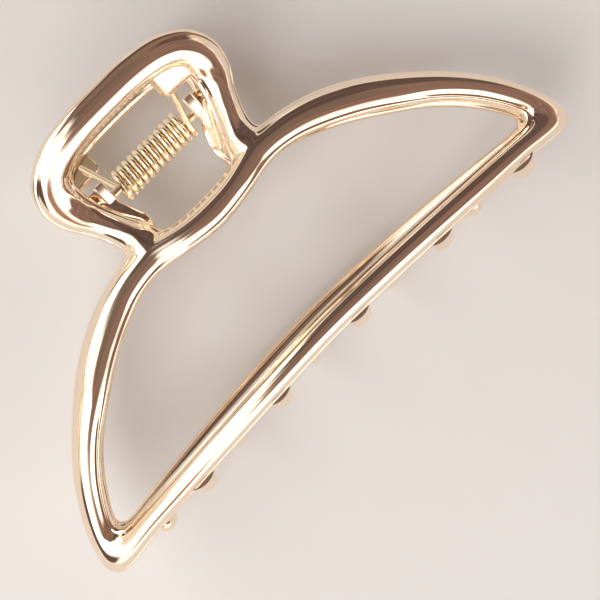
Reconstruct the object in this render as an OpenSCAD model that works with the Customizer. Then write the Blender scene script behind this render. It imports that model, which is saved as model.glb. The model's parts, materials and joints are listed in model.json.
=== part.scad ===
// Claw clip for hair: two cast halves on one hinge pin, held shut by a torsion
// spring. Each half is one casting: a handle loop, a half-moon jaw loop, five
// teeth, two hinge lugs and a seat for one leg of the spring. The upper half's
// lugs sit between the lower half's.
//
// The clip lies on the outside of its lower half. X runs along the hinge pin,
// Y towards the handles and Z up. The origin is on the surface it lies on,
// under the middle of its outline.
//
// A half is drawn about the hinge: x along the pin, y towards the handle and
// z outwards, away from the other half. The lower half is the same shape turned
// half a turn about Y, apart from its lugs.

/* [Castings] */
// Overall length of the clip
clip_length = 113; // [108:0.2:118]
// Depth of the jaw's bowl at the middle of the toothed bar
bowl_depth = 16.05; // [14:0.05:17]
// Height of the rounded front of the band above its edge
dome_height = 2.4; // [1.8:0.1:3]
// Height of the low rim that borders the rounded front
rim_height = 0.85; // [0.6:0.05:1]
// Depth of the flatter back of the band below its edge
back_height = 1.8; // [1.4:0.1:2.2]
// Height of the band's edge above the middle plane at the jaw's tips
tip_height = 1.25; // [1.1:0.05:3]
// Width of the toothed bar
bar_width = 4.9; // [4:0.1:6]

/* [Teeth] */
// Number of teeth on each half
tooth_count = 5; // [3:1:5]
// Distance between neighbouring teeth
tooth_pitch = 19.4; // [18:0.1:20]
// Distance of the row's middle from the middle of the bar
tooth_offset = 5.2; // [4:0.1:6]
// How far a tooth hangs below the bar
tooth_drop = 2.4; // [1.8:0.1:2.6]
// How far a tooth reaches past the middle plane
tooth_past = 1.6; // [0.5:0.1:3]

/* [Hinge] */
// Diameter of the hinge pin
pin_d = 1.5; // [1.2:0.05:1.8]
// Radial clearance of the pin in the lugs
pin_clearance = 0.05; // [0.02:0.01:0.1]
// Radius of a hinge lug's round end
lug_radius = 2.6; // [2.2:0.1:2.8]
// Thickness of a hinge lug
lug_thickness = 2; // [1.6:0.1:2.1]
// Inner face of the upper half's lugs, from the middle of the pin
lug_inner_x = 9.8; // [9.8:0.1:10]

/* [Spring] */
// Diameter of the spring wire
wire_d = 1.15; // [0.9:0.05:1.2]
// Outer diameter of the coil
coil_od = 6.2; // [5.6:0.1:6.4]
// Distance between the wire's middles at the two ends of the coil
coil_span = 15.8; // [14:0.1:16]
// Full turns of the coil, besides the part turn that sets the legs apart
coil_turns = 12; // [8:1:12]
// Lean of a leg away from the middle plane, in degrees
leg_lean = 42; // [41:1:43]
// Lean of a leg towards the end of the pin, in degrees
leg_spread = 12; // [9:1:12]
// Straight length of a leg
leg_length = 12.6; // [11:0.1:12.8]

/* [Hidden] */

steps = 3;             // stations in each span between two outline rows
back_facets = 4;       // facets of the band's section behind its edge
rim_facets = 2;        // facets of its rim
dome_facets = 3;       // facets of its rounded front
slack = 0.1;           // gap between a spring leg and its seat
lug_gap = 0.2;         // gap between neighbouring lugs
head_gap = 0.1;        // gap between an outer lug and the pin's head
head_height = 0.7;
head_radius = 1.3;
bore_r = pin_d / 2 + pin_clearance;
coil_r = (coil_od - wire_d) / 2;
wire_sides = 8;
rings_per_turn = 16;
GOLD = [0.93, 0.76, 0.58];
WIRE_GOLD = [0.95, 0.78, 0.50];
PIN_GOLD = [0.90, 0.74, 0.52];

// ---------------------------------------------------------------- outlines
// Right-hand side of the band, seen from the front, as rows of
// [outer edge, inner edge]. Both edges run on smoothly from row to row.

// Handle loop, from the middle of its top down to the neck
HANDLE_ROWS = [
    [[0, 14.5], [0, 9.1]], [[7.5, 14.3], [6, 8.9]], [[14.2, 13], [10.8, 8.1]],
    [[19, 10.2], [13, 6.5]], [[21, 6], [13.4, 3.8]], [[20.3, 1.8], [12.7, 0.2]],
    [[18, -2.1], [11.4, -3.4]], [[16.4, -5.7], [9.9, -6.9]], [[15.8, -8.2], [8.9, -9]]
];
// Jaw loop, from the neck out along the arch and round the tip
ARCH_ROWS = [
    [[20.5, -10.3], [18.5, -15.7]], [[26.7, -12.1], [23.6, -17.5]],
    [[33.3, -15.5], [29.6, -20.5]], [[40, -20.5], [35.5, -24.3]],
    [[46.2, -26.3], [41, -28.3]], [[51.1, -32.2], [45.4, -32.7]],
    [[54.7, -38.3], [48.6, -37.1]], [[56.5, -43.6], [50.2, -40.2]],
    [[56.1, -46.4], [49.6, -41.6]], [[53.3, -47.6], [47.8, -41.9]]
];
// Where the toothed bar's rows stand, and the bow of its lower edge
BAR_X = [45, 36, 24, 12, 0];
BAR_MIDDLE_Y = -43.9;
BAR_BOW = 3;
BAR_END_X = 50;
// Short piece under the handle's window: [window edge, jaw edge]
WEB_ROWS = [[[5, -11.4], [6.6, -16.3]], [[0, -11.6], [0, -17]]];
// The neck, where handle, arch and web meet: its middle and its three edges
NECK = [12.6, -12.1];
NECK_NOTCH = [16.5, -9.7];
NECK_WINDOW = [8, -10.6];
NECK_JAW = [13, -15.2];

// Depth of the band's edge along the middle of a half, at even steps of y
PROFILE_LOW = -49;
PROFILE_STEP = 6.5;
PROFILE = [
    bowl_depth - 1.2, bowl_depth, bowl_depth + 0.5, bowl_depth + 0.1, 14.7, 12.1,
    9.4, 8.1, 9.3, 13.2, 18.1
];

// --------------------------------------------------------------- functions
function mirrored(p) = [-p[0], p[1]];
function between(a, b, t) = a + (b - a) * t;
// Cubic curve from b to c that leaves and arrives in line with a and d
function curve(a, b, c, d, t) =
    b + t * (c - a + t * (2 * a - 5 * b + 4 * c - d + t * (3 * b - a - 3 * c + d))) / 2;
// Smooth closed curve through a list of points
function closed_curve(p) = let (n = len(p))
    [for (i = [0:n - 1], k = [0:steps - 1])
        curve(p[(i + n - 1) % n], p[i], p[(i + 1) % n], p[(i + 2) % n], k / steps)];
// Smooth open curve through a list of points, without its two end points
function open_curve(p) = let (n = len(p), q = concat([2 * p[0] - p[1]], p, [2 * p[n - 1] - p[n - 2]]))
    [for (i = [0:n - 2], k = [0:steps - 1]) if (i + k > 0)
        curve(q[i], q[i + 1], q[i + 2], q[i + 3], k / steps)];
function reversed(p) = [for (i = [len(p) - 1:-1:0]) p[i]];
// A right-hand run of points that starts and ends on the middle, closed on the left
function both_sides(p) = concat(p, [for (i = [len(p) - 2:-1:1]) mirrored(p[i])]);

// Depth along the middle of a half
function profile(y) = let (
        u = min(max((y - PROFILE_LOW) / PROFILE_STEP, 0), len(PROFILE) - 1.001),
        i = floor(u), last = len(PROFILE) - 1
    ) curve(PROFILE[max(i - 1, 0)], PROFILE[i], PROFILE[i + 1], PROFILE[min(i + 2, last)], u - i);
// Depth of the bowl that the whole half is bent to
function bowl(x, y) = tip_height
    + (profile(y) - tip_height) * (1 - pow(min(abs(x) / (clip_length / 2), 1), 2.4));
function on_bowl(p) = [p[0], p[1], bowl(p[0], p[1])];
// Direction that stands square to the bowl, pointing outwards
function square_to_bowl(p) = let (
        e = 0.1,
        n = [bowl(p[0] - e, p[1]) - bowl(p[0] + e, p[1]), bowl(p[0], p[1] - e) - bowl(p[0], p[1] + e), 2 * e]
    ) n / norm(n);
// Lower edge of the toothed bar, which is bowed up in the middle
function bar_edge(x) = BAR_MIDDLE_Y - BAR_BOW * pow(abs(x) / BAR_END_X, 1.5);

// -------------------------------------------------------------- band frame
bar_rows = [for (x = BAR_X) [[x, bar_edge(x)], [0.97 * x, bar_edge(x) + bar_width]]];
jaw_rows = concat(ARCH_ROWS, bar_rows);
function edge(rows, side) = [for (r = rows) r[side]];
function middle(rows) = [for (r = rows) (r[0] + r[1]) / 2];

// The three edges of the band, as closed curves that start at the middle
outer_edge = closed_curve(both_sides(concat(edge(HANDLE_ROWS, 0), [NECK_NOTCH], edge(jaw_rows, 0))));
window_edge = closed_curve(both_sides(concat(edge(HANDLE_ROWS, 1), [NECK_WINDOW], edge(WEB_ROWS, 0))));
jaw_edge = closed_curve(both_sides(concat(reversed(edge(jaw_rows, 1)), [NECK_JAW], edge(WEB_ROWS, 1))));

// The ridge along the band's middle, in three runs from the right neck to the left
function run(rows) = let (right = concat([NECK], middle(rows)))
    open_curve(concat(right, [for (i = [len(right) - 2:-1:0]) mirrored(right[i])]));
handle_ridge = run(reversed(HANDLE_ROWS));
jaw_ridge = run(jaw_rows);
web_ridge = run(WEB_ROWS);
ridge = concat([NECK, mirrored(NECK)], handle_ridge, jaw_ridge, web_ridge);
ridge_count = len(ridge);
function ids(first, count) = [for (i = [0:count - 1]) first + i];
handle_ids = ids(2, len(handle_ridge));
jaw_ids = ids(2 + len(handle_ridge), len(jaw_ridge));
web_ids = ids(2 + len(handle_ridge) + len(jaw_ridge), len(web_ridge));
// Ridge point beside each point of an edge: a closed walk along two of the runs. It
// starts in the middle of run a, as the edges do, and goes down the right-hand side.
function walk(a, b) = let (
        loop = concat([0], a, [1], reversed(b)), start = 1 + (len(a) - 1) / 2, n = len(loop)
    ) [for (i = [0:n - 1]) loop[(start + n - i) % n]];
outer_ids = walk(handle_ids, jaw_ids);
window_ids = walk(handle_ids, web_ids);
jaw_loop_ids = walk(jaw_ids, web_ids);

// The band's section, from its back round the edge, over the rim and up the dome, as
// [share of the way from ridge to edge, height over the edge]
RIM_SHARE = 0.82;       // where the rim meets the dome's foot
DOME_START = 25;        // angle of the dome's foot on its quarter round
function back_row(a) = [pow(cos(a), 0.7), -back_height * pow(sin(a), 0.7)];
function rim_row(a) = [between(RIM_SHARE, 1, cos(a)), rim_height * sin(a)];
function dome_row(a) = let (rise = (sin(a) - sin(DOME_START)) / (1 - sin(DOME_START)))
    [RIM_SHARE * cos(a) / cos(DOME_START), between(rim_height, dome_height, rise)];
SECTION = concat(
    [for (k = [back_facets:-1:1]) back_row(90 * k / back_facets)],
    [for (k = [0:rim_facets]) rim_row(90 * k / rim_facets)],
    [for (k = [1:dome_facets]) dome_row(between(DOME_START, 90, k / dome_facets))]
);
top_row = len(SECTION) - 1;
strip_rows = top_row - 1;
function strip_points(edge_points, ridge_ids) = [
    for (i = [0:len(edge_points) - 1], j = [1:strip_rows]) let (
        s = ridge[ridge_ids[i]], top = on_bowl(s), side = on_bowl(edge_points[i])
    ) between(top, side, SECTION[j][0]) + SECTION[j][1] * square_to_bowl(s)
];
outer_base = 2 * ridge_count;
window_base = outer_base + len(outer_edge) * strip_rows;
jaw_base = window_base + len(window_edge) * strip_rows;
function strip_index(base, ridge_ids, i, j) =
    j == 0 ? ridge_count + ridge_ids[i]
    : j == top_row ? ridge_ids[i]
    : base + i * strip_rows + j - 1;
// Two triangles for each cell of a strip; flip turns them over
function strip_faces(base, ridge_ids, flip) = let (n = len(ridge_ids)) [
    for (i = [0:n - 1], j = [0:top_row - 1], half = [0, 1]) let (
        a = strip_index(base, ridge_ids, i, j),
        b = strip_index(base, ridge_ids, (i + 1) % n, j),
        c = strip_index(base, ridge_ids, (i + 1) % n, j + 1),
        d = strip_index(base, ridge_ids, i, j + 1),
        t = half == 0 ? [a, b, c] : [a, c, d]
    ) flip ? reversed(t) : t
];
band_points = concat(
    [for (p = ridge) on_bowl(p) + dome_height * square_to_bowl(p)],
    [for (p = ridge) on_bowl(p) - back_height * square_to_bowl(p)],
    strip_points(outer_edge, outer_ids),
    strip_points(window_edge, window_ids),
    strip_points(jaw_edge, jaw_loop_ids)
);
band_faces = concat(
    strip_faces(outer_base, outer_ids, false),
    strip_faces(window_base, window_ids, true),
    strip_faces(jaw_base, jaw_loop_ids, false)
);

module band() {
    polyhedron(band_points, band_faces, convexity = 8);
}

// ------------------------------------------------------------------- teeth
tooth_rings = 9;
tooth_sides = 12;
TOOTH_ROOT = [2.6, 1.75];      // half width and half height at the root
TOOTH_TAPER = [1.3, 0.55];     // what they lose by the tip
TOOTH_ROUND = 0.8;             // share of the length where the tip's rounding starts
tooth_x = [for (i = [0:tooth_count - 1]) tooth_offset + (i - (tooth_count - 1) / 2) * tooth_pitch];
// Half width and half height of a tooth at share s of its length
function tooth_half(s) = let (end = max(s - TOOTH_ROUND, 0) / (1 - TOOTH_ROUND))
    (TOOTH_ROOT - TOOTH_TAPER * s) * sqrt(max(1 - end * end, 0.02));
// Middle of a tooth at share s: out of the bar, down, then inwards
function tooth_middle(x, s) = let (
        low = bar_edge(x) - tooth_drop + tooth_half(0.3)[1],
        bend = sin(90 * min(s / 0.35, 1)),
        root = [bar_edge(x) + 2, bowl(x, bar_edge(x) + 2)]
    ) [x, between(root[0], low, bend) + 0.9 * pow(max(s - 0.35, 0), 2), between(root[1], -tooth_past, s)];
function tooth_points(x) = [
    for (i = [0:tooth_rings - 1], k = [0:tooth_sides - 1]) let (
        s = sin(90 * i / (tooth_rings - 1)), a = 360 * k / tooth_sides, h = tooth_half(s)
    ) tooth_middle(x, s) + [h[0] * cos(a), h[1] * sin(a), 0]
];
// Walls and end caps of a tube given ring by ring
function tube_faces(rings, sides) = concat(
    [for (i = [0:rings - 2], k = [0:sides - 1], half = [0, 1]) let (
        a = i * sides + k, b = i * sides + (k + 1) % sides, c = a + sides, d = b + sides
    ) half == 0 ? [a, b, d] : [a, d, c]],
    [reversed(ids(0, sides))],
    [ids((rings - 1) * sides, sides)]
);

module tooth(x) {
    polyhedron(tooth_points(x), tube_faces(tooth_rings, tooth_sides));
}

// -------------------------------------------------------------- spring seat
seat_thickness = 1.6;
seat_back = coil_r + wire_d / 2 + slack;
SEAT_CORNERS = [[8.8, 11.4], [8.8, 15.3], [14, 11.4], [12.6, 15.6]];
SEAT_CORNER_RADIUS = 1.2;
// Plate across the handle window's upper corner, in line with the spring's leg
module spring_seat() {
    rotate([leg_lean, 0, 0]) translate([0, 0, seat_back])
        linear_extrude(seat_thickness) hull() {
            for (p = SEAT_CORNERS) translate(p) circle(SEAT_CORNER_RADIUS, $fn = 24);
        }
}

// Thickened inner wall of the handle loop, from the lugs down to the neck
RIB_PATH = [[12.4, 0.6], [11.5, -1.2], [10.6, -3.8], [9.5, -6.4], [8.3, -8.8], [6.9, -10.8], [5.2, -12.4]];
RIB_RADIUS = [1.3, 1.8, 1.8, 1.7, 1.7, 1.5, 1];
RIB_DEPTH = 0.6;        // of its middle under the band's edge
rib_points = [
    for (i = [0:len(RIB_PATH) - 1], k = [0:tooth_sides - 1]) let (p = RIB_PATH[i], a = 360 * k / tooth_sides)
        on_bowl(p) - [0, 0, RIB_DEPTH] + RIB_RADIUS[i] * [cos(a), 0, -sin(a)]
];
module rib(side) {
    mirror([side > 0 ? 0 : 1, 0, 0]) polyhedron(rib_points, tube_faces(len(RIB_PATH), tooth_sides));
}

// Half of the clip without its lugs, stretched to its exact length
module cast_shape() {
    resize([clip_length, 0, 0]) union() {
        band();
        for (x = tooth_x) tooth(x);
        spring_seat();
        rib(-1);
        rib(1);
    }
}

// Ear round the pin and the block that joins it to the handle, as [y, z] outlines
EAR_WEB = [[-2.5, 0.7], [-1.4, 7.6], [3.2, 9], [1.9, 6.1], [2.5, 0.7]];
LUG_BLOCK = [[-1.1, 5.4], [-1.4, 7.6], [3.2, 9], [1.9, 6.1]];
BLOCK_END_X = 15.5;     // inside the handle loop's side
// side is 1 on the right
module lug(side, inner_x) {
    rotate([90, 0, 90]) {
        translate([0, 0, side > 0 ? inner_x : -inner_x - lug_thickness])
            linear_extrude(lug_thickness) union() {
                circle(lug_radius, $fn = 48);
                polygon(EAR_WEB);
            }
        translate([0, 0, side > 0 ? inner_x : -BLOCK_END_X])
            linear_extrude(BLOCK_END_X - inner_x) polygon(LUG_BLOCK);
    }
}

module casting(inner_x) {
    difference() {
        union() {
            cast_shape();
            lug(-1, inner_x);
            lug(1, inner_x);
        }
        rotate([0, 90, 0]) cylinder(r = bore_r, h = 40, center = true, $fn = 48);
    }
}

// -------------------------------------------------------------- placement
all_points = concat(band_points, [for (x = tooth_x) each tooth_points(x)]);
half_depth = max([for (p = all_points) p[2]]);
handle_reach = max([for (p = all_points) p[1]]);
tooth_reach = -min([for (p = all_points) p[1]]);
pin_y = (tooth_reach - handle_reach) / 2;
module on_hinge() {
    translate([0, pin_y, half_depth]) children();
}

module upper_half() {
    color(GOLD) on_hinge() casting(lug_inner_x);
}

module lower_half() {
    color(GOLD) on_hinge() rotate([0, 180, 0]) casting(lug_inner_x + lug_thickness + lug_gap);
}

// Plain shaft with a peened head outside each outer lug
module hinge_pin() {
    shaft_half = lug_inner_x + 2 * lug_thickness + lug_gap + head_gap;
    color(PIN_GOLD) on_hinge() rotate([0, 90, 0]) union() {
        cylinder(d = pin_d, h = 2 * shaft_half + head_height, center = true, $fn = 48);
        for (side = [0, 1]) mirror([0, 0, side]) translate([0, 0, shaft_half])
            cylinder(r1 = head_radius, r2 = 0.6 * head_radius, h = head_height, $fn = 48);
    }
}

// ------------------------------------------------------------------ spring
// Angles run from z towards y. The coil winds from the upper half's leg, on the
// right, to the lower half's leg, which is the same leg turned about Y.
start_angle = -leg_lean;
sweep = 180 - 2 * leg_lean + 360 * coil_turns;
coil_rings = ceil(sweep / 360 * rings_per_turn);
function radial(a) = [0, sin(a), cos(a)];
// Ring of the wire round a point, square to the coil at an angle
function wire_ring(p, a) = [for (k = [0:wire_sides - 1]) let (t = 360 * k / wire_sides)
    p + wire_d / 2 * (cos(t) * radial(a) + sin(t) * [1, 0, 0])];
leg_rise = leg_length * [tan(leg_spread), cos(leg_lean), sin(leg_lean)];
right_foot = coil_r * radial(start_angle) + [coil_span / 2, 0, 0];
left_foot = [-right_foot[0], right_foot[1], -right_foot[2]];
spring_points = concat(
    wire_ring(right_foot + leg_rise, start_angle),
    [for (i = [0:coil_rings]) let (t = i / coil_rings, a = start_angle - sweep * t)
        each wire_ring(coil_r * radial(a) + [coil_span * (0.5 - t), 0, 0], a)],
    wire_ring(left_foot + [-leg_rise[0], leg_rise[1], -leg_rise[2]], start_angle - sweep)
);

module torsion_spring() {
    color(WIRE_GOLD) on_hinge()
        polyhedron(spring_points, tube_faces(coil_rings + 3, wire_sides), convexity = 10);
}

upper_half();
lower_half();
hinge_pin();
torsion_spring();
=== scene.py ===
"""Claw clip: two polished, plated castings on one hinge pin, held shut by a torsion spring.

The castings are worked out in millimetres about the hinge: x along the pin, y towards the
handle and z outwards. Each is then scaled to metres and set on the pin of the CAD frame.
"""
import json
import math

import bpy
import numpy as np
from mathutils import Matrix, Vector


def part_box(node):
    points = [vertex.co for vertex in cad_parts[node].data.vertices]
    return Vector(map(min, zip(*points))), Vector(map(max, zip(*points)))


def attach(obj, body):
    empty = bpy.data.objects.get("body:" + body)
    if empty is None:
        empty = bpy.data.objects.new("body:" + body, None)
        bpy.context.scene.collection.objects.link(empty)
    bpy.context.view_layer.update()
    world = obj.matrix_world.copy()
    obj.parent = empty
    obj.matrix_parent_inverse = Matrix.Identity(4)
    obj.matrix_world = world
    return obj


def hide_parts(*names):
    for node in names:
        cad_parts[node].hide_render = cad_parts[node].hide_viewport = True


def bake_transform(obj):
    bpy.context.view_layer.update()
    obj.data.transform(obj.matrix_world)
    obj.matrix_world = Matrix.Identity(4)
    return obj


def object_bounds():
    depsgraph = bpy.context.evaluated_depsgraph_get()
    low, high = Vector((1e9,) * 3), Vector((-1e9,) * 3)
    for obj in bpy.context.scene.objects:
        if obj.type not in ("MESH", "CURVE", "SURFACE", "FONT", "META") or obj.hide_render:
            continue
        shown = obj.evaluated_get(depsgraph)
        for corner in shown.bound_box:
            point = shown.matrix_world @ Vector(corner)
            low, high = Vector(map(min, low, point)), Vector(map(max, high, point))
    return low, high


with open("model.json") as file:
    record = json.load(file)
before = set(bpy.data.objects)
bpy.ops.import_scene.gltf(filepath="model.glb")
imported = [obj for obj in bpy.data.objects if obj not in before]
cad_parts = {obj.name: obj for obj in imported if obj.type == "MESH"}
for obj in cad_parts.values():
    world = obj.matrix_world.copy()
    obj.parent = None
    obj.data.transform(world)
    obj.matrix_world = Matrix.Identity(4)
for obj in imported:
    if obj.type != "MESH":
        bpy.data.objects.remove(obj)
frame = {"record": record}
cad_box = [list(corner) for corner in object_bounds()]

# ------------------------------------------------------------------- design
MM = 0.001
HINGE = next(j for j in frame["record"]["behaviour"]["joints"] if j["name"] == "jaw_hinge")
PIN_AT = Vector(HINGE["pos_m"])

CLIP_LENGTH = 1000 * (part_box("upper_half")[1].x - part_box("upper_half")[0].x)
BOWL_DEPTH = 16.05     # at the middle of the toothed bar
TIP_HEIGHT = 1.25      # of the bowl over the clip's middle plane, at the tips
DOME_HEIGHT = 2.4      # of the band's ridge over its edges
BACK_HEIGHT = 1.8      # of the band's back under its edges
BAR_WIDTH = 4.9

TOOTH_COUNT = 5
TOOTH_PITCH = 19.4
TOOTH_OFFSET = 5.2     # of the middle tooth, to the right
TOOTH_DROP = 2.4       # how far a tooth hangs below the bar
TOOTH_PAST = 1.6       # how far it reaches past the middle plane

PIN_D = 1.5
PIN_CLEARANCE = 0.05
LUG_RADIUS = 2.6
LUG_THICKNESS = 2.0
LUG_INNER_X = 9.8
LUG_GAP = 0.2          # between neighbouring lugs
HEAD_GAP = 0.1         # between an outer lug and the pin's head
HEAD_HEIGHT = 0.7
HEAD_RADIUS = 1.3

WIRE_D = 1.15
COIL_OD = 6.2
COIL_R = (COIL_OD - WIRE_D) / 2
COIL_SPAN = 15.8
COIL_TURNS = 12
LEG_LEAN = math.radians(42)    # of a leg out of the middle plane
LEG_SPREAD = math.radians(12)  # of a leg away from the coil
LEG_LENGTH = 12.6
SLACK = 0.1            # between a leg and its seat

LENGTH_TRIM = 0.02     # the castings are this much shorter than the CAD ones
INSIDE = 0.999         # scale in y and z that keeps them inside the coarser CAD ones
SHARP = math.radians(50)  # edges at a greater angle stay sharp in the shading
STEPS = 8              # stations in each span between two outline rows
QUARTER = 8            # facets of the band's section behind its edge, and of its dome

# Right-hand side of the band as rows of [outer edge, inner edge]
HANDLE_ROWS = [
    [[0, 14.5], [0, 9.1]], [[7.5, 14.3], [6, 8.9]], [[14.2, 13], [10.8, 8.1]],
    [[19, 10.2], [13, 6.5]], [[21, 6], [13.4, 3.8]], [[20.3, 1.8], [12.7, 0.2]],
    [[18, -2.1], [11.4, -3.4]], [[16.4, -5.7], [9.9, -6.9]], [[15.8, -8.2], [8.9, -9]],
]
ARCH_ROWS = [
    [[20.5, -10.3], [18.5, -15.7]], [[26.7, -12.1], [23.6, -17.5]],
    [[33.3, -15.5], [29.6, -20.5]], [[40, -20.5], [35.5, -24.3]],
    [[46.2, -26.3], [41, -28.3]], [[51.1, -32.2], [45.4, -32.7]],
    [[54.7, -38.3], [48.6, -37.1]], [[56.5, -43.6], [50.2, -40.2]],
    [[56.1, -46.4], [49.6, -41.6]], [[53.3, -47.6], [47.8, -41.9]],
]
# Where the toothed bar's rows stand, and the bow of its lower edge
BAR_X = [45, 36, 24, 12, 0]
BAR_INNER_SHARE = 0.97  # its inner edge is this much shorter than its outer edge
BAR_MIDDLE_Y = -43.9
BAR_BOW = 3
BAR_BOW_POWER = 1.5
BAR_END_X = 50
# Short piece under the handle's window: [window edge, jaw edge]
WEB_ROWS = [[[5, -11.4], [6.6, -16.3]], [[0, -11.6], [0, -17]]]
# The neck, where handle, arch and web meet: its middle and its three edges
NECK = [12.6, -12.1]
NECK_NOTCH = [16.5, -9.7]
NECK_WINDOW = [8, -10.6]
NECK_JAW = [13, -15.2]
NECK_REACH = 8          # of the smoothing round the neck
NECK_ROUNDS = 20
NECK_DRAW = 0.60        # each round draws the points together
NECK_SPREAD = -0.57     # and then lets them out again, which keeps the neck's thickness

# Depth of the band's edge along the middle of a half, at even steps of y
PROFILE_LOW = -49
PROFILE_STEP = 6.5
PROFILE = np.array([
    BOWL_DEPTH - 1.2, BOWL_DEPTH, BOWL_DEPTH + 0.5, BOWL_DEPTH + 0.1, 14.7, 12.1,
    9.4, 8.1, 9.3, 13.2, 18.1,
])
BOWL_POWER = 2.4       # how late the bowl falls off towards the tips


# ------------------------------------------------------------------- curves
def curve(a, b, c, d, t):
    """Cubic curve from b to c that leaves and arrives in line with a and d."""
    return b + t * (c - a + t * (2 * a - 5 * b + 4 * c - d + t * (3 * b - a - 3 * c + d))) / 2


def closed_curve(points):
    """Smooth closed curve through a list of points."""
    p, n = np.array(points, float), len(points)
    return np.array([
        curve(p[i - 1], p[i], p[(i + 1) % n], p[(i + 2) % n], k / STEPS)
        for i in range(n) for k in range(STEPS)
    ])


def open_curve(points):
    """Smooth open curve through a list of points, without its two end points."""
    p = np.array(points, float)
    q = np.vstack([2 * p[0] - p[1], p, 2 * p[-1] - p[-2]])
    return np.array([
        curve(q[i], q[i + 1], q[i + 2], q[i + 3], k / STEPS)
        for i in range(len(p) - 1) for k in range(STEPS) if i + k > 0
    ])


def mirrored(points):
    """The same points on the left."""
    return [[-x, y] for x, y in points]


def both_sides(points):
    """A right-hand run that starts and ends on the middle, closed on the left."""
    return points + mirrored(points[-2:0:-1])


def profile(y):
    """Depth along the middle of a half."""
    last = len(PROFILE) - 1
    u = np.clip((y - PROFILE_LOW) / PROFILE_STEP, 0, last - 0.001)
    i = np.floor(u).astype(int)
    a, b = PROFILE[np.maximum(i - 1, 0)], PROFILE[i]
    c, d = PROFILE[i + 1], PROFILE[np.minimum(i + 2, last)]
    return curve(a, b, c, d, u - i)


def bowl(x, y):
    """Depth of the bowl that a whole half is bent to."""
    share = np.minimum(np.abs(x) / (CLIP_LENGTH / 2), 1) ** BOWL_POWER
    return TIP_HEIGHT + (profile(y) - TIP_HEIGHT) * (1 - share)


def on_bowl(p):
    """Outline points lifted on to the bowl."""
    return np.column_stack([p[:, 0], p[:, 1], bowl(p[:, 0], p[:, 1])])


def square_to_bowl(p):
    """Directions that stand square to the bowl, pointing outwards."""
    e = 0.1    # half the span over which the slope is taken
    x, y = p[:, 0], p[:, 1]
    n = np.column_stack([
        bowl(x - e, y) - bowl(x + e, y), bowl(x, y - e) - bowl(x, y + e), np.full(len(p), 2 * e),
    ])
    return n / np.linalg.norm(n, axis=1)[:, None]


def bar_edge(x):
    """Lower edge of the toothed bar, which is bowed up in the middle."""
    return BAR_MIDDLE_Y - BAR_BOW * (abs(x) / BAR_END_X) ** BAR_BOW_POWER


# --------------------------------------------------------------------- band
RIM_SHARE = 0.80       # of the way from ridge to edge, where the dome's foot stands
RIM_HEIGHT = 0.85
RIM_STEPS = 5
CREASE_SHARE = 0.04    # width of the facet between rim and dome, as such a share
CREASE_RISE = 0.1
DOME_START = math.radians(25)  # angle of the dome's foot on its quarter round
BACK_POWER = 0.7       # below 1 makes the back flatter than a quarter round


def section():
    """The band's section from back to front.

    Gives the share of the way from ridge to edge, the height over the edge and the share of
    the wall's thickness that is added there.
    """
    a = np.pi / 2 * (np.arange(QUARTER) / QUARTER - 1)
    b = np.pi / 2 * np.arange(RIM_STEPS + 1) / RIM_STEPS
    c = np.linspace(DOME_START, np.pi / 2, QUARTER + 1)
    rim = RIM_SHARE + CREASE_SHARE
    foot = RIM_HEIGHT + CREASE_RISE
    rise = (np.sin(c) - np.sin(DOME_START)) / (1 - np.sin(DOME_START))
    across = [
        np.abs(np.cos(a)) ** BACK_POWER,
        rim + (1 - rim) * np.cos(b),
        RIM_SHARE * np.cos(c) / np.cos(DOME_START),
    ]
    upright = [
        -BACK_HEIGHT * np.abs(np.sin(a)) ** BACK_POWER,
        RIM_HEIGHT * np.sin(b),
        foot + (DOME_HEIGHT - foot) * rise,
    ]
    wall = [np.abs(np.sin(2 * a)), 0 * b, 0 * c]
    return np.concatenate(across), np.concatenate(upright), np.concatenate(wall)


WALL_THICK = 2.2       # added to the handle loop's inner wall where the lugs join it
WALL_TOP_Y = 4.0
WALL_LOW_Y = -11.0
WALL_FADE = 5.5        # distance over which it comes in at its top
WALL_TAPER = 4.5       # and goes out at its lower end
WALL_LIFT = 0.3        # how far it leans towards the handle's top


def smooth_step(t):
    """Soft rise from 0 to 1 as t goes from 0 to 1."""
    t = np.clip(t, 0, 1)
    return t * t * (3 - 2 * t)


def wall_here(edge):
    """Extra thickness of the inner wall at each point of the window's edge."""
    y = edge[:, 1]
    rise = smooth_step((WALL_TOP_Y - y) / WALL_FADE)
    return WALL_THICK * rise * smooth_step((y - WALL_LOW_Y) / WALL_TAPER)


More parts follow.
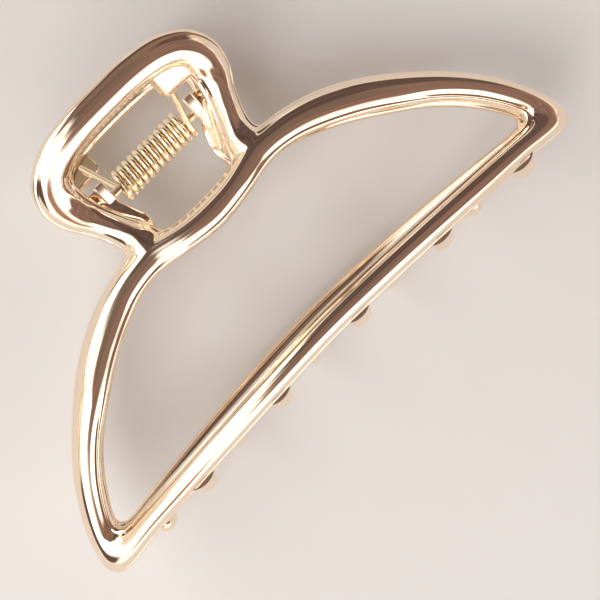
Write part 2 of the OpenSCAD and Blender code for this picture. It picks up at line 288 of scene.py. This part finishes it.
def band_mesh():
    """Points and faces of the band: handle loop and jaw loop on one smooth bowl."""
    bar_rows = [
        [[x, bar_edge(x)], [BAR_INNER_SHARE * x, bar_edge(x) + BAR_WIDTH]] for x in BAR_X
    ]
    jaw_rows = ARCH_ROWS + bar_rows

    def side(rows, k):
        return [r[k] for r in rows]

    def run(rows):
        """Ridge from the right-hand neck through the rows' middles to the other neck."""
        right = [NECK] + [[(a[0] + b[0]) / 2, (a[1] + b[1]) / 2] for a, b in rows]
        return open_curve(right + mirrored(right[-2::-1]))

    edges = [
        closed_curve(both_sides(side(HANDLE_ROWS, 0) + [NECK_NOTCH] + side(jaw_rows, 0))),
        closed_curve(both_sides(side(HANDLE_ROWS, 1) + [NECK_WINDOW] + side(WEB_ROWS, 0))),
        closed_curve(both_sides(side(jaw_rows, 1)[::-1] + [NECK_JAW] + side(WEB_ROWS, 1))),
    ]
    runs = [run(HANDLE_ROWS[::-1]), run(jaw_rows), run(WEB_ROWS)]
    ridge = np.vstack([[NECK], mirrored([NECK])] + runs)
    ids, first = [], 2
    for r in runs:
        ids.append(list(range(first, first + len(r))))
        first += len(r)

    def walk(a, b):
        """Ring of ridge points: middle of run a, right-hand neck, run b and round."""
        loop, start = [0] + a + [1] + b[::-1], 1 + (len(a) - 1) // 2
        return [loop[(start - i) % len(loop)] for i in range(len(loop))]

    walks = [walk(ids[0], ids[1]), walk(ids[0], ids[2]), walk(ids[1], ids[2])]
    top, square = on_bowl(ridge), square_to_bowl(ridge)
    across, upright, wall = section()
    last = len(across) - 1
    points = [top + DOME_HEIGHT * square, top - BACK_HEIGHT * square]
    count, rows, faces = 2 * len(ridge), last - 1, []
    for edge, path, flip in zip(edges, walks, (False, True, False)):
        centre, rim, up = top[path], on_bowl(edge), square[path]
        lift = np.full(len(rim), WALL_LIFT)
        inwards = np.column_stack([-np.sign(rim[:, 0]), lift, np.zeros(len(rim))])
        thick = wall_here(edge)[:, None] * inwards * flip
        strip = [
            centre + (rim - centre) * across[j] + thick * wall[j] + upright[j] * up
            for j in range(1, last)
        ]
        points.append(np.stack(strip, 1).reshape(-1, 3))
        grid = np.column_stack([
            len(ridge) + np.array(path),
            count + np.arange(len(path) * rows).reshape(len(path), rows),
            np.array(path),
        ])
        for i in range(len(path)):
            here, there = grid[i], grid[(i + 1) % len(path)]
            for j in range(last):
                face = [here[j], there[j], there[j + 1], here[j + 1]]
                faces.append(face[::-1] if flip else face)
        count += len(path) * rows
    return np.vstack(points), np.array(faces)


def relaxed(points, faces, weight):
    """Points drawn towards the mean of their neighbours, each by its own weight."""
    a = faces.reshape(-1)
    b = np.roll(faces, -1, axis=1).reshape(-1)
    degree = np.bincount(a, minlength=len(points)) + np.bincount(b, minlength=len(points))
    total = np.zeros_like(points)
    np.add.at(total, a, points[b])
    np.add.at(total, b, points[a])
    return points + weight[:, None] * (total / degree[:, None] - points)


def smooth_necks(points, faces):
    """The band with its two three-way necks smoothed into one flowing surface."""
    away = np.hypot(np.abs(points[:, 0]) - NECK[0], points[:, 1] - NECK[1])
    fade = smooth_step(1 - away / NECK_REACH)
    for _ in range(NECK_ROUNDS):
        points = relaxed(points, faces, NECK_DRAW * fade)
        points = relaxed(points, faces, NECK_SPREAD * fade)
    return points


# -------------------------------------------------------------------- tubes
def tube(rings):
    """Points and faces of a closed tube given as an array of rings."""
    n, m = rings.shape[:2]
    faces = [
        [i * m + k, i * m + (k + 1) % m, (i + 1) * m + (k + 1) % m, (i + 1) * m + k]
        for i in range(n - 1) for k in range(m)
    ]
    faces += [list(range(m))[::-1], list(range((n - 1) * m, n * m))]
    return rings.reshape(-1, 3), faces


# -------------------------------------------------------------------- teeth
TOOTH_RINGS = 28
TOOTH_SIDES = 32
TOOTH_ROOT = np.array([2.6, 1.75])   # half width and half height at the root
TOOTH_TAPER = np.array([1.3, 0.55])  # what they lose by the tip
FLARE = 0.9            # what both gain at the root, fading out by FLARE_SHARE
FLARE_SHARE = 0.22     # all the shares here are of the tooth's length
TOOTH_ROUND = 0.8      # share where the tip's rounding starts
TOOTH_BLUNT = 0.02     # how much of its size is left at the very tip
TOOTH_INSET = 2        # how far inside the bar's edge a tooth starts
LOWEST_SHARE = 0.3     # about where its lower side is lowest, TOOTH_DROP below the bar
BEND_SHARE = 0.35      # where it has turned from down to inwards
BEND_BACK = 0.9        # how much it then curves back up towards the handle


def tooth_half(s):
    """Half width and half height of a tooth at share s of its length."""
    end = max(s - TOOTH_ROUND, 0) / (1 - TOOTH_ROUND)
    flare = FLARE * max(1 - s / FLARE_SHARE, 0) ** 2
    return (TOOTH_ROOT - TOOTH_TAPER * s + flare) * max(math.sqrt(1 - end * end), TOOTH_BLUNT)


def tooth_rings(x):
    """Rings of a tooth: out of the bar, down, then inwards."""
    low = bar_edge(x) - TOOTH_DROP + tooth_half(LOWEST_SHARE)[1]
    root_y = bar_edge(x) + TOOTH_INSET
    root_z = float(bowl(np.array([x]), np.array([root_y]))[0])
    a = 2 * np.pi * np.arange(TOOTH_SIDES) / TOOTH_SIDES
    rings = []
    for i in range(TOOTH_RINGS):
        s = math.sin(math.pi / 2 * i / (TOOTH_RINGS - 1))
        bend = math.sin(math.pi / 2 * min(s / BEND_SHARE, 1))
        y = root_y + (low - root_y) * bend + BEND_BACK * max(s - BEND_SHARE, 0) ** 2
        z = root_z + (-TOOTH_PAST - root_z) * s
        h = tooth_half(s)
        rings.append(np.column_stack([
            x + h[0] * np.cos(a), y + h[1] * np.sin(a), np.full(TOOTH_SIDES, z),
        ]))
    return np.array(rings)


# ------------------------------------------------------------- mesh helpers
LATHE_SIDES = 64


def new_object(name, points, faces):
    """Mesh object from lists of points and faces."""
    mesh = bpy.data.meshes.new(name)
    mesh.from_pydata([tuple(p) for p in points], [], [tuple(int(i) for i in f) for f in faces])
    mesh.update()
    thing = bpy.data.objects.new(name, mesh)
    bpy.context.collection.objects.link(thing)
    return thing


def apply_modifiers(thing):
    """The object's mesh becomes what its modifiers make of it."""
    depsgraph = bpy.context.evaluated_depsgraph_get()
    mesh = bpy.data.meshes.new_from_object(thing.evaluated_get(depsgraph))
    thing.modifiers.clear()
    thing.data = mesh
    return thing


def combine(thing, tool, operation):
    """Boolean of two closed meshes; the tool is used up."""
    modifier = thing.modifiers.new(operation.lower(), "BOOLEAN")
    modifier.operation, modifier.object, modifier.solver = operation, tool, "MANIFOLD"
    apply_modifiers(thing)
    bpy.data.objects.remove(tool)
    return thing


def rounded(thing, width, segments=3):
    """Every edge sharper than 30 degrees gets a round of that width."""
    modifier = thing.modifiers.new("round", "BEVEL")
    modifier.width, modifier.segments = width, segments
    modifier.limit_method, modifier.angle_limit = "ANGLE", math.radians(30)
    modifier.use_clamp_overlap = True
    return apply_modifiers(thing)


def solid_between(name, near, far):
    """Closed solid between two outlines that have the same number of points."""
    n = len(near)
    faces = [[i, (i + 1) % n, n + (i + 1) % n, n + i] for i in range(n)]
    faces += [list(range(n))[::-1], list(range(n, 2 * n))]
    return new_object(name, near + far, faces)


def prism(name, outline, low, high):
    """Closed prism of an outline in the y-z plane, from x = low to x = high."""
    return solid_between(name, [(low, y, z) for y, z in outline], [(high, y, z) for y, z in outline])


def lathe(name, outline):
    """Solid of revolution about X from a list of (x, radius), closed at both ends."""
    a = 2 * np.pi * np.arange(LATHE_SIDES) / LATHE_SIDES
    rings = np.array([
        np.column_stack([0 * a + x, r * np.cos(a), r * np.sin(a)]) for x, r in outline
    ])
    return new_object(name, *tube(rings))


def set_on_pin(thing, name, node, material, turned=False):
    """Name a piece, scale it to metres, set it on the pin, give it its material and hide the CAD
    node it stands in for.
    """
    thing.name = name
    turn = Matrix.Rotation(math.pi if turned else 0, 4, "Y")
    thing.data.transform(Matrix.Translation(PIN_AT) @ Matrix.Scale(MM, 4) @ turn)
    thing.data.materials.clear()
    thing.data.materials.append(material)
    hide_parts(node)


# ---------------------------------------------------------------- castings
# Angles of a lug's round end, from +Y towards +Z
LUG_ARC = np.linspace(math.radians(164), math.radians(376), 40)
# Corners of its web, up past its block and back to the round end
LUG_WEB = [
    [2.3, 2.6], [1.95, 4.4], [1.95, 6.2], [3.0, 8.3],
    [2.8, 9.0], [2.2, 9.0], [-0.9, 7.6], [-1.7, 6.6],
]
LUG_EDGE = 0.85        # round of its edges
LUG_BLOCK = [[-1.1, 5.0], [1.7, 5.5], [2.6, 7.7], [-1.3, 6.5]]
BLOCK_EDGE = 0.6
BLOCK_END_X = 15.5
SEAT_CORNERS = [[8.8, 11.4], [14, 11.4], [12.6, 15.6], [8.8, 15.3]]
SEAT_CORNER_RADIUS = 1.2
CORNER_POINTS = 9
SEAT_THICKNESS = 1.6
SEAT_EDGE = 0.45
SEAT_SLOPE = 0.45      # shift of its front to the right, per mm to the left of SLOPE_X
SLOPE_X = 9.6
BORE_REACH = 20


def lug(side, inner_x):
    """Ear round the pin with its block; side is 1 on the right."""
    arc = [[LUG_RADIUS * math.cos(a), LUG_RADIUS * math.sin(a)] for a in LUG_ARC]
    low, high = sorted((side * inner_x, side * (inner_x + LUG_THICKNESS)))
    ear = rounded(prism("ear", arc + LUG_WEB, low, high), LUG_EDGE, segments=6)
    low, high = sorted((side * inner_x, side * BLOCK_END_X))
    block = rounded(prism("block", LUG_BLOCK, low, high), BLOCK_EDGE, segments=4)
    return combine(ear, block, "UNION")


def spring_seat():
    """Plate across the handle window's upper corner, in line with the spring's leg."""
    outline = []
    corners = np.array(SEAT_CORNERS, float)
    for i, corner in enumerate(corners):
        before, after = corners[i - 1] - corner, corners[(i + 1) % len(corners)] - corner
        start = math.atan2(*(before[::-1])) + math.pi / 2
        end = math.atan2(*(after[::-1])) - math.pi / 2
        while end < start:
            end += 2 * math.pi
        for a in np.linspace(start, end, CORNER_POINTS):
            outline.append(corner + SEAT_CORNER_RADIUS * np.array([math.cos(a), math.sin(a)]))
    back = COIL_R + WIRE_D / 2 + SLACK
    front = back + SEAT_THICKNESS
    near = [(x, y, back) for x, y in outline]
    far = [(x + SEAT_SLOPE * max(SLOPE_X - x, 0), y, front) for x, y in outline]
    plate = rounded(solid_between("seat", near, far), SEAT_EDGE)
    plate.data.transform(Matrix.Rotation(LEG_LEAN, 4, "X"))
    return plate


def bore():
    """Hole for the pin, right through all the lugs."""
    radius = PIN_D / 2 + PIN_CLEARANCE
    return lathe("bore", [(-BORE_REACH, radius), (BORE_REACH, radius)])


def casting(inner_x):
    """One half of the clip, about the hinge, in millimetres; its lugs start at inner_x."""
    points, faces = band_mesh()
    points = smooth_necks(points, faces)
    half = new_object("half", points, faces)
    for i in range(TOOTH_COUNT):
        x = TOOTH_OFFSET + (i - (TOOTH_COUNT - 1) / 2) * TOOTH_PITCH
        combine(half, new_object("tooth", *tube(tooth_rings(x)[:, ::-1])), "UNION")
    combine(half, spring_seat(), "UNION")
    for side in (-1, 1):
        combine(half, lug(side, inner_x), "UNION")
    combine(half, bore(), "DIFFERENCE")
    co = np.array([v.co for v in half.data.vertices])
    stretch = (CLIP_LENGTH - LENGTH_TRIM) / (co[:, 0].max() - co[:, 0].min())
    half.data.transform(Matrix.Diagonal((stretch, INSIDE, INSIDE, 1)))
    half.data.shade_smooth()
    half.data.set_sharp_from_angle(angle=SHARP)
    weighted = half.modifiers.new("weighted", "WEIGHTED_NORMAL")
    weighted.keep_sharp = True
    return apply_modifiers(half)


# ------------------------------------------------------------- node helpers
def noise(tree, vector, scale, detail):
    """Factor of a noise texture."""
    texture = tree.nodes.new("ShaderNodeTexNoise")
    texture.inputs["Scale"].default_value = scale
    texture.inputs["Detail"].default_value = detail
    tree.links.new(vector, texture.inputs["Vector"])
    return texture.outputs["Fac"]


def spread(tree, value, source, target, smooth=False):
    """A value carried over from one range to another, and held at its ends."""
    node = tree.nodes.new("ShaderNodeMapRange")
    if smooth:
        node.interpolation_type = "SMOOTHSTEP"
    node.inputs["From Min"].default_value, node.inputs["From Max"].default_value = source
    node.inputs["To Min"].default_value, node.inputs["To Max"].default_value = target
    tree.links.new(value, node.inputs["Value"])
    return node.outputs["Result"]


def mixed(tree, factor, first, second):
    """Mix of two colours, each a socket or three numbers."""
    node = tree.nodes.new("ShaderNodeMix")
    node.data_type = "RGBA"
    tree.links.new(factor, node.inputs["Factor"])
    for name, colour in (("A", first), ("B", second)):
        if isinstance(colour, tuple):
            node.inputs[name].default_value = (*colour, 1)
        else:
            tree.links.new(colour, node.inputs[name])
    return node.outputs["Result"]


# ---------------------------------------------------------------- materials
TINT = (1, 0.95, 0.9)         # how the plating's colour changes from place to place
TINT_SCALE = 90.0
MARK_SCALE = 1400.0
MARK_SPREAD = (0.8, 1.3)      # of the roughness, by the polishing marks
RIPPLE_SCALE = 620.0
BROAD_DISTANCE = 0.0004
RIPPLE_DISTANCE = 0.00003


def gold(name, colour, roughness, wave):
    """Polished plating: faint large-scale waviness and fine polishing marks."""
    material = bpy.data.materials.new(name)
    material.use_nodes = True
    tree = material.node_tree
    shader = tree.nodes["Principled BSDF"]
    shader.inputs["Metallic"].default_value = 1.0
    place = tree.nodes.new("ShaderNodeTexCoord").outputs["Object"]
    broad = noise(tree, place, TINT_SCALE, detail=1.0)
    marks = noise(tree, place, MARK_SCALE, detail=3.0)
    ripple = noise(tree, place, RIPPLE_SCALE, detail=2.0)
    tinted = tuple(c * t for c, t in zip(colour, TINT))
    tree.links.new(mixed(tree, broad, colour, tinted), shader.inputs["Base Color"])
    target = [roughness * share for share in MARK_SPREAD]
    tree.links.new(spread(tree, marks, (0, 1), target), shader.inputs["Roughness"])
    normal = None
    for height, distance in ((broad, BROAD_DISTANCE), (ripple, RIPPLE_DISTANCE)):
        bump = tree.nodes.new("ShaderNodeBump")
        bump.inputs["Strength"].default_value = wave
        bump.inputs["Distance"].default_value = distance
        tree.links.new(height, bump.inputs["Height"])
        if normal is not None:
            tree.links.new(normal, bump.inputs["Normal"])
        normal = bump.outputs["Normal"]
    tree.links.new(normal, shader.inputs["Normal"])
    return material


# ----------------------------------------------------------- pin and spring
HEAD_FOOT = 0.93       # share of the head's radius where it stands on its lug
HEAD_CROWN = 0.25      # share of it that stays flat at the crown
HEAD_START = 0.15      # angle of the dome where the head's side ends, in radians
HEAD_POINTS = 9
PIN_SHARP = math.radians(38)

TURN_STEPS = 48
LEG_STEPS = 40
LEG_CROWDING = 1.4     # above 1 sets a leg's stations closer together near the coil
LEG_SOFTNESS = 1.2     # length over which a leg takes up its spread
WIRE_SIDES = 20
CUT_ROUND = 0.35       # round of the wire's cut ends, as a share of its radius
CUT_STEPS = 5


def hinge_pin():
    """Plain shaft with a domed, peened head outside each outer lug."""
    shaft = LUG_INNER_X + 2 * LUG_THICKNESS + LUG_GAP + HEAD_GAP
    right = [(shaft, PIN_D / 2), (shaft, HEAD_RADIUS * HEAD_FOOT)]
    for a in np.linspace(HEAD_START, math.pi / 2, HEAD_POINTS):
        radius = HEAD_RADIUS * (HEAD_CROWN + (1 - HEAD_CROWN) * math.cos(a))
        right.append((shaft + HEAD_HEIGHT * math.sin(a), radius))
    pin = lathe("pin", [(-x, r) for x, r in right[::-1]] + right)
    pin.data.flip_normals()
    pin.data.shade_smooth()
    pin.data.set_sharp_from_angle(angle=PIN_SHARP)
    return pin


def spring_path():
    """Middle of the wire, from the right-hand leg's tip through the coil to the left-hand tip."""
    sweep = math.pi - 2 * LEG_LEAN + 2 * math.pi * COIL_TURNS
    start = -LEG_LEAN

    def radial(a):
        return np.array([0, math.sin(a), math.cos(a)])

    foot = COIL_R * radial(start) + [COIL_SPAN / 2, 0, 0]
    leg = []
    for u in LEG_LENGTH * np.linspace(1, 0, LEG_STEPS)[:-1] ** LEG_CROWDING:
        out = math.tan(LEG_SPREAD) * (math.hypot(u, LEG_SOFTNESS) - LEG_SOFTNESS)
        leg.append(foot + [out, u * math.cos(LEG_LEAN), u * math.sin(LEG_LEAN)])
    coil = [
        COIL_R * radial(start - sweep * t) + [COIL_SPAN * (0.5 - t), 0, 0]
        for t in np.linspace(0, 1, TURN_STEPS * COIL_TURNS + 1)
    ]
    other = [p * [-1, 1, -1] for p in leg[::-1]]
    return np.array(leg + coil + other)


def sweep_round(path, radius):
    """Rings of a round wire along a path, with its ends rounded off."""
    tangent = np.gradient(path, axis=0)
    tangent /= np.linalg.norm(tangent, axis=1)[:, None]
    rings = []
    a = 2 * np.pi * np.arange(WIRE_SIDES) / WIRE_SIDES
    side = np.array([1.0, 0, 0])
    for p, t in zip(path, tangent):
        u = side - t * (side @ t)
        u /= np.linalg.norm(u)
        v = np.cross(t, u)
        rings.append(p + radius * (np.cos(a)[:, None] * u + np.sin(a)[:, None] * v))
    ends = []
    for k, direction in ((0, -1), (-1, 1)):
        cap = []
        for b in np.linspace(0, math.pi / 2, CUT_STEPS + 1)[1:]:
            scale = 1 - CUT_ROUND + CUT_ROUND * math.cos(b)
            ahead = tangent[k] * direction * CUT_ROUND * radius * math.sin(b)
            cap.append(path[k] + (rings[k] - path[k]) * scale + ahead)
        ends.append(cap)
    return np.array(ends[0][::-1] + rings + ends[1])


def torsion_spring():
    """Close coil round the pin with a leg at each end."""
    points, faces = tube(sweep_round(spring_path(), WIRE_D / 2))
    spring = new_object("spring", points, faces)
    spring.data.shade_smooth()
    spring.data.set_sharp_from_angle(angle=SHARP)
    return spring


# ------------------------------------------------------------------- pieces
CASTING_GOLD = gold("plated_casting", (0.98, 0.84, 0.68), 0.07, 0.12)
PIN_GOLD = gold("plated_pin", (0.93, 0.76, 0.56), 0.12, 0.1)
WIRE_GOLD = gold("spring_wire", (1.0, 0.88, 0.66), 0.16, 0.02)

upper = casting(LUG_INNER_X)
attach(upper, "upper")
set_on_pin(upper, "upper_casting", "upper_half", CASTING_GOLD)

lower = casting(LUG_INNER_X + LUG_THICKNESS + LUG_GAP)
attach(lower, "lower")
set_on_pin(lower, "lower_casting", "lower_half", CASTING_GOLD, turned=True)

pin = hinge_pin()
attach(pin, "lower")
set_on_pin(pin, "peened_pin", "hinge_pin", PIN_GOLD)

spring = torsion_spring()
set_on_pin(spring, "coil_spring", "torsion_spring", WIRE_GOLD)
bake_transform(spring)


# ------------------------------------------------------------------- studio
FLOOR_HALF = 1.5
FLOOR_COLOUR = (0.80, 0.79, 0.78)

TENT = (1.5, 1.45, 1.38)
BACKDROP = (0.80, 0.76, 0.72)
WHITE = (1.9, 1.85, 1.8)
SAND = (0.85, 0.75, 0.62)
RUST = (0.40, 0.22, 0.15)
OLIVE = (0.28, 0.23, 0.16)
COCOA = (0.26, 0.165, 0.14)
UMBER = (0.21, 0.15, 0.125)
BROWN = (0.125, 0.085, 0.078)
# Cards in the sky, the later over the earlier: azimuth and angle off the zenith of the
# middle, angles from there where it is solid and where it has gone, all in degrees; colour
CARDS = [
    (140, 95, 5, 60, SAND),
    (0, 95, 5, 55, SAND),
    (92, 90, 12, 20, OLIVE),
    (38, 48, 42, 52, BROWN),
    (-28, 50, 28, 36, COCOA),
    (-5, 28, 16, 30, COCOA),
    (0, 6, 16, 26, UMBER),
    (-80, 28, 15, 25, COCOA),
    (-90, 76, 23, 31, WHITE),
    (115, 58, 15, 21, WHITE),
    (165, 45, 17, 23, WHITE),
    (198, 31, 9, 14, WHITE),
    (183, 84, 15, 23, BROWN),
    (-130, 62, 4, 16, RUST),
]
FOLD_STRETCH = (0.6, 5, 1)
FOLD_SCALE = 2.4
FOLD_NOISE = (0.3, 0.7)       # range of the noise that is used
FOLD_SHADE = (0.7, 1.35)      # and what the sky's light is multiplied by there

# The photograph's camera, in metres, from the fit of the clip's outline to the photograph
SENSOR_MM = 36.0
LENS_MM = 156.1
CAMERA_TARGET = Vector((0.00017, -0.01909, 0.0185))
CAMERA_OFFSET = Vector((-0.01515, 0.0225, 0.4533))
CAMERA_ROLL = math.radians(45.14)


def floor():
    """Plain pale floor."""
    h = FLOOR_HALF
    plane = new_object("floor", [(-h, -h, 0), (h, -h, 0), (h, h, 0), (-h, h, 0)], [(0, 1, 2, 3)])
    material = bpy.data.materials.new("pale_floor")
    material.use_nodes = True
    shader = material.node_tree.nodes["Principled BSDF"]
    shader.inputs["Base Color"].default_value = (*FLOOR_COLOUR, 1)
    shader.inputs["Roughness"].default_value = 0.9
    plane.data.materials.append(material)


def softbox(name, towards, distance, size, power):
    """Rectangular area light that faces the clip from the given direction."""
    data = bpy.data.lights.new(name, "AREA")
    data.shape, data.size, data.size_y = "RECTANGLE", size[0], size[1]
    data.energy = power
    lamp = bpy.data.objects.new(name, data)
    direction = Vector(towards).normalized()
    centre = (Vector(cad_box[0]) + Vector(cad_box[1])) / 2
    lamp.location = centre + direction * distance
    lamp.rotation_euler = direction.to_track_quat("Z", "Y").to_euler()
    bpy.context.collection.objects.link(lamp)


def sky_direction(azimuth, off_zenith):
    """Unit vector towards a place in the sky: azimuth from +X towards +Y, both in degrees."""
    a, z = math.radians(azimuth), math.radians(off_zenith)
    return Vector((math.sin(z) * math.cos(a), math.sin(z) * math.sin(a), math.cos(z)))


def view_direction(tree):
    """Direction in which the sky is looked at."""
    return tree.nodes.new("ShaderNodeTexCoord").outputs["Generated"]


def along(tree, direction):
    """Cosine of the angle between each place in the sky and a direction."""
    dot = tree.nodes.new("ShaderNodeVectorMath")
    dot.operation = "DOT_PRODUCT"
    tree.links.new(view_direction(tree), dot.inputs[0])
    dot.inputs[1].default_value = direction
    return dot.outputs["Value"]


def card(tree, sky, azimuth, off_zenith, inner, outer, colour):
    """The sky so far with a round card, solid out to inner degrees and gone at outer degrees."""
    limits = [math.cos(math.radians(angle)) for angle in (outer, inner)]
    nearness = along(tree, sky_direction(azimuth, off_zenith))
    return mixed(tree, spread(tree, nearness, limits, (0, 1), smooth=True), sky, colour)


def folds(tree, sky):
    """The sky with faint, long folds of light and shade that run along the pin."""
    stretch = tree.nodes.new("ShaderNodeVectorMath")
    stretch.operation = "MULTIPLY"
    tree.links.new(view_direction(tree), stretch.inputs[0])
    stretch.inputs[1].default_value = FOLD_STRETCH
    waves = noise(tree, stretch.outputs["Vector"], FOLD_SCALE, detail=3.0)
    shaded = tree.nodes.new("ShaderNodeVectorMath")
    shaded.operation = "SCALE"
    tree.links.new(sky, shaded.inputs[0])
    tree.links.new(spread(tree, waves, FOLD_NOISE, FOLD_SHADE), shaded.inputs["Scale"])
    return shaded.outputs["Vector"]


def studio():
    """White tent with its cards, a plain backdrop that only the camera sees, and a soft key."""
    world = bpy.data.worlds.new("studio")
    bpy.context.scene.world = world
    world.use_nodes = True
    tree = world.node_tree
    base = tree.nodes.new("ShaderNodeRGB")
    base.outputs["Color"].default_value = (*TENT, 1)
    sky = base.outputs["Color"]
    for place in CARDS:
        sky = card(tree, sky, *place)
    seen = tree.nodes.new("ShaderNodeLightPath").outputs["Is Camera Ray"]
    background = mixed(tree, seen, folds(tree, sky), BACKDROP)
    tree.links.new(background, tree.nodes["Background"].inputs["Color"])
    softbox("key", towards=(-0.75, -0.2, 0.9), distance=0.6, size=(0.3, 0.5), power=1.0)
    bpy.context.scene.view_settings.view_transform = "Standard"


def camera():
    """The photograph's view: from above, a little towards the handles, with the clip turned."""
    data = bpy.data.cameras.new("camera")
    data.sensor_width, data.lens = SENSOR_MM, LENS_MM
    cam = bpy.data.objects.new("camera", data)
    bpy.context.collection.objects.link(cam)
    back = CAMERA_OFFSET.normalized()
    up = Vector((math.sin(CAMERA_ROLL), math.cos(CAMERA_ROLL), 0))
    right = up.cross(back).normalized()
    basis = Matrix((right, back.cross(right), back)).transposed().to_4x4()
    cam.matrix_world = Matrix.Translation(CAMERA_TARGET + CAMERA_OFFSET) @ basis
    bpy.context.scene.camera = cam


floor()
studio()
camera()
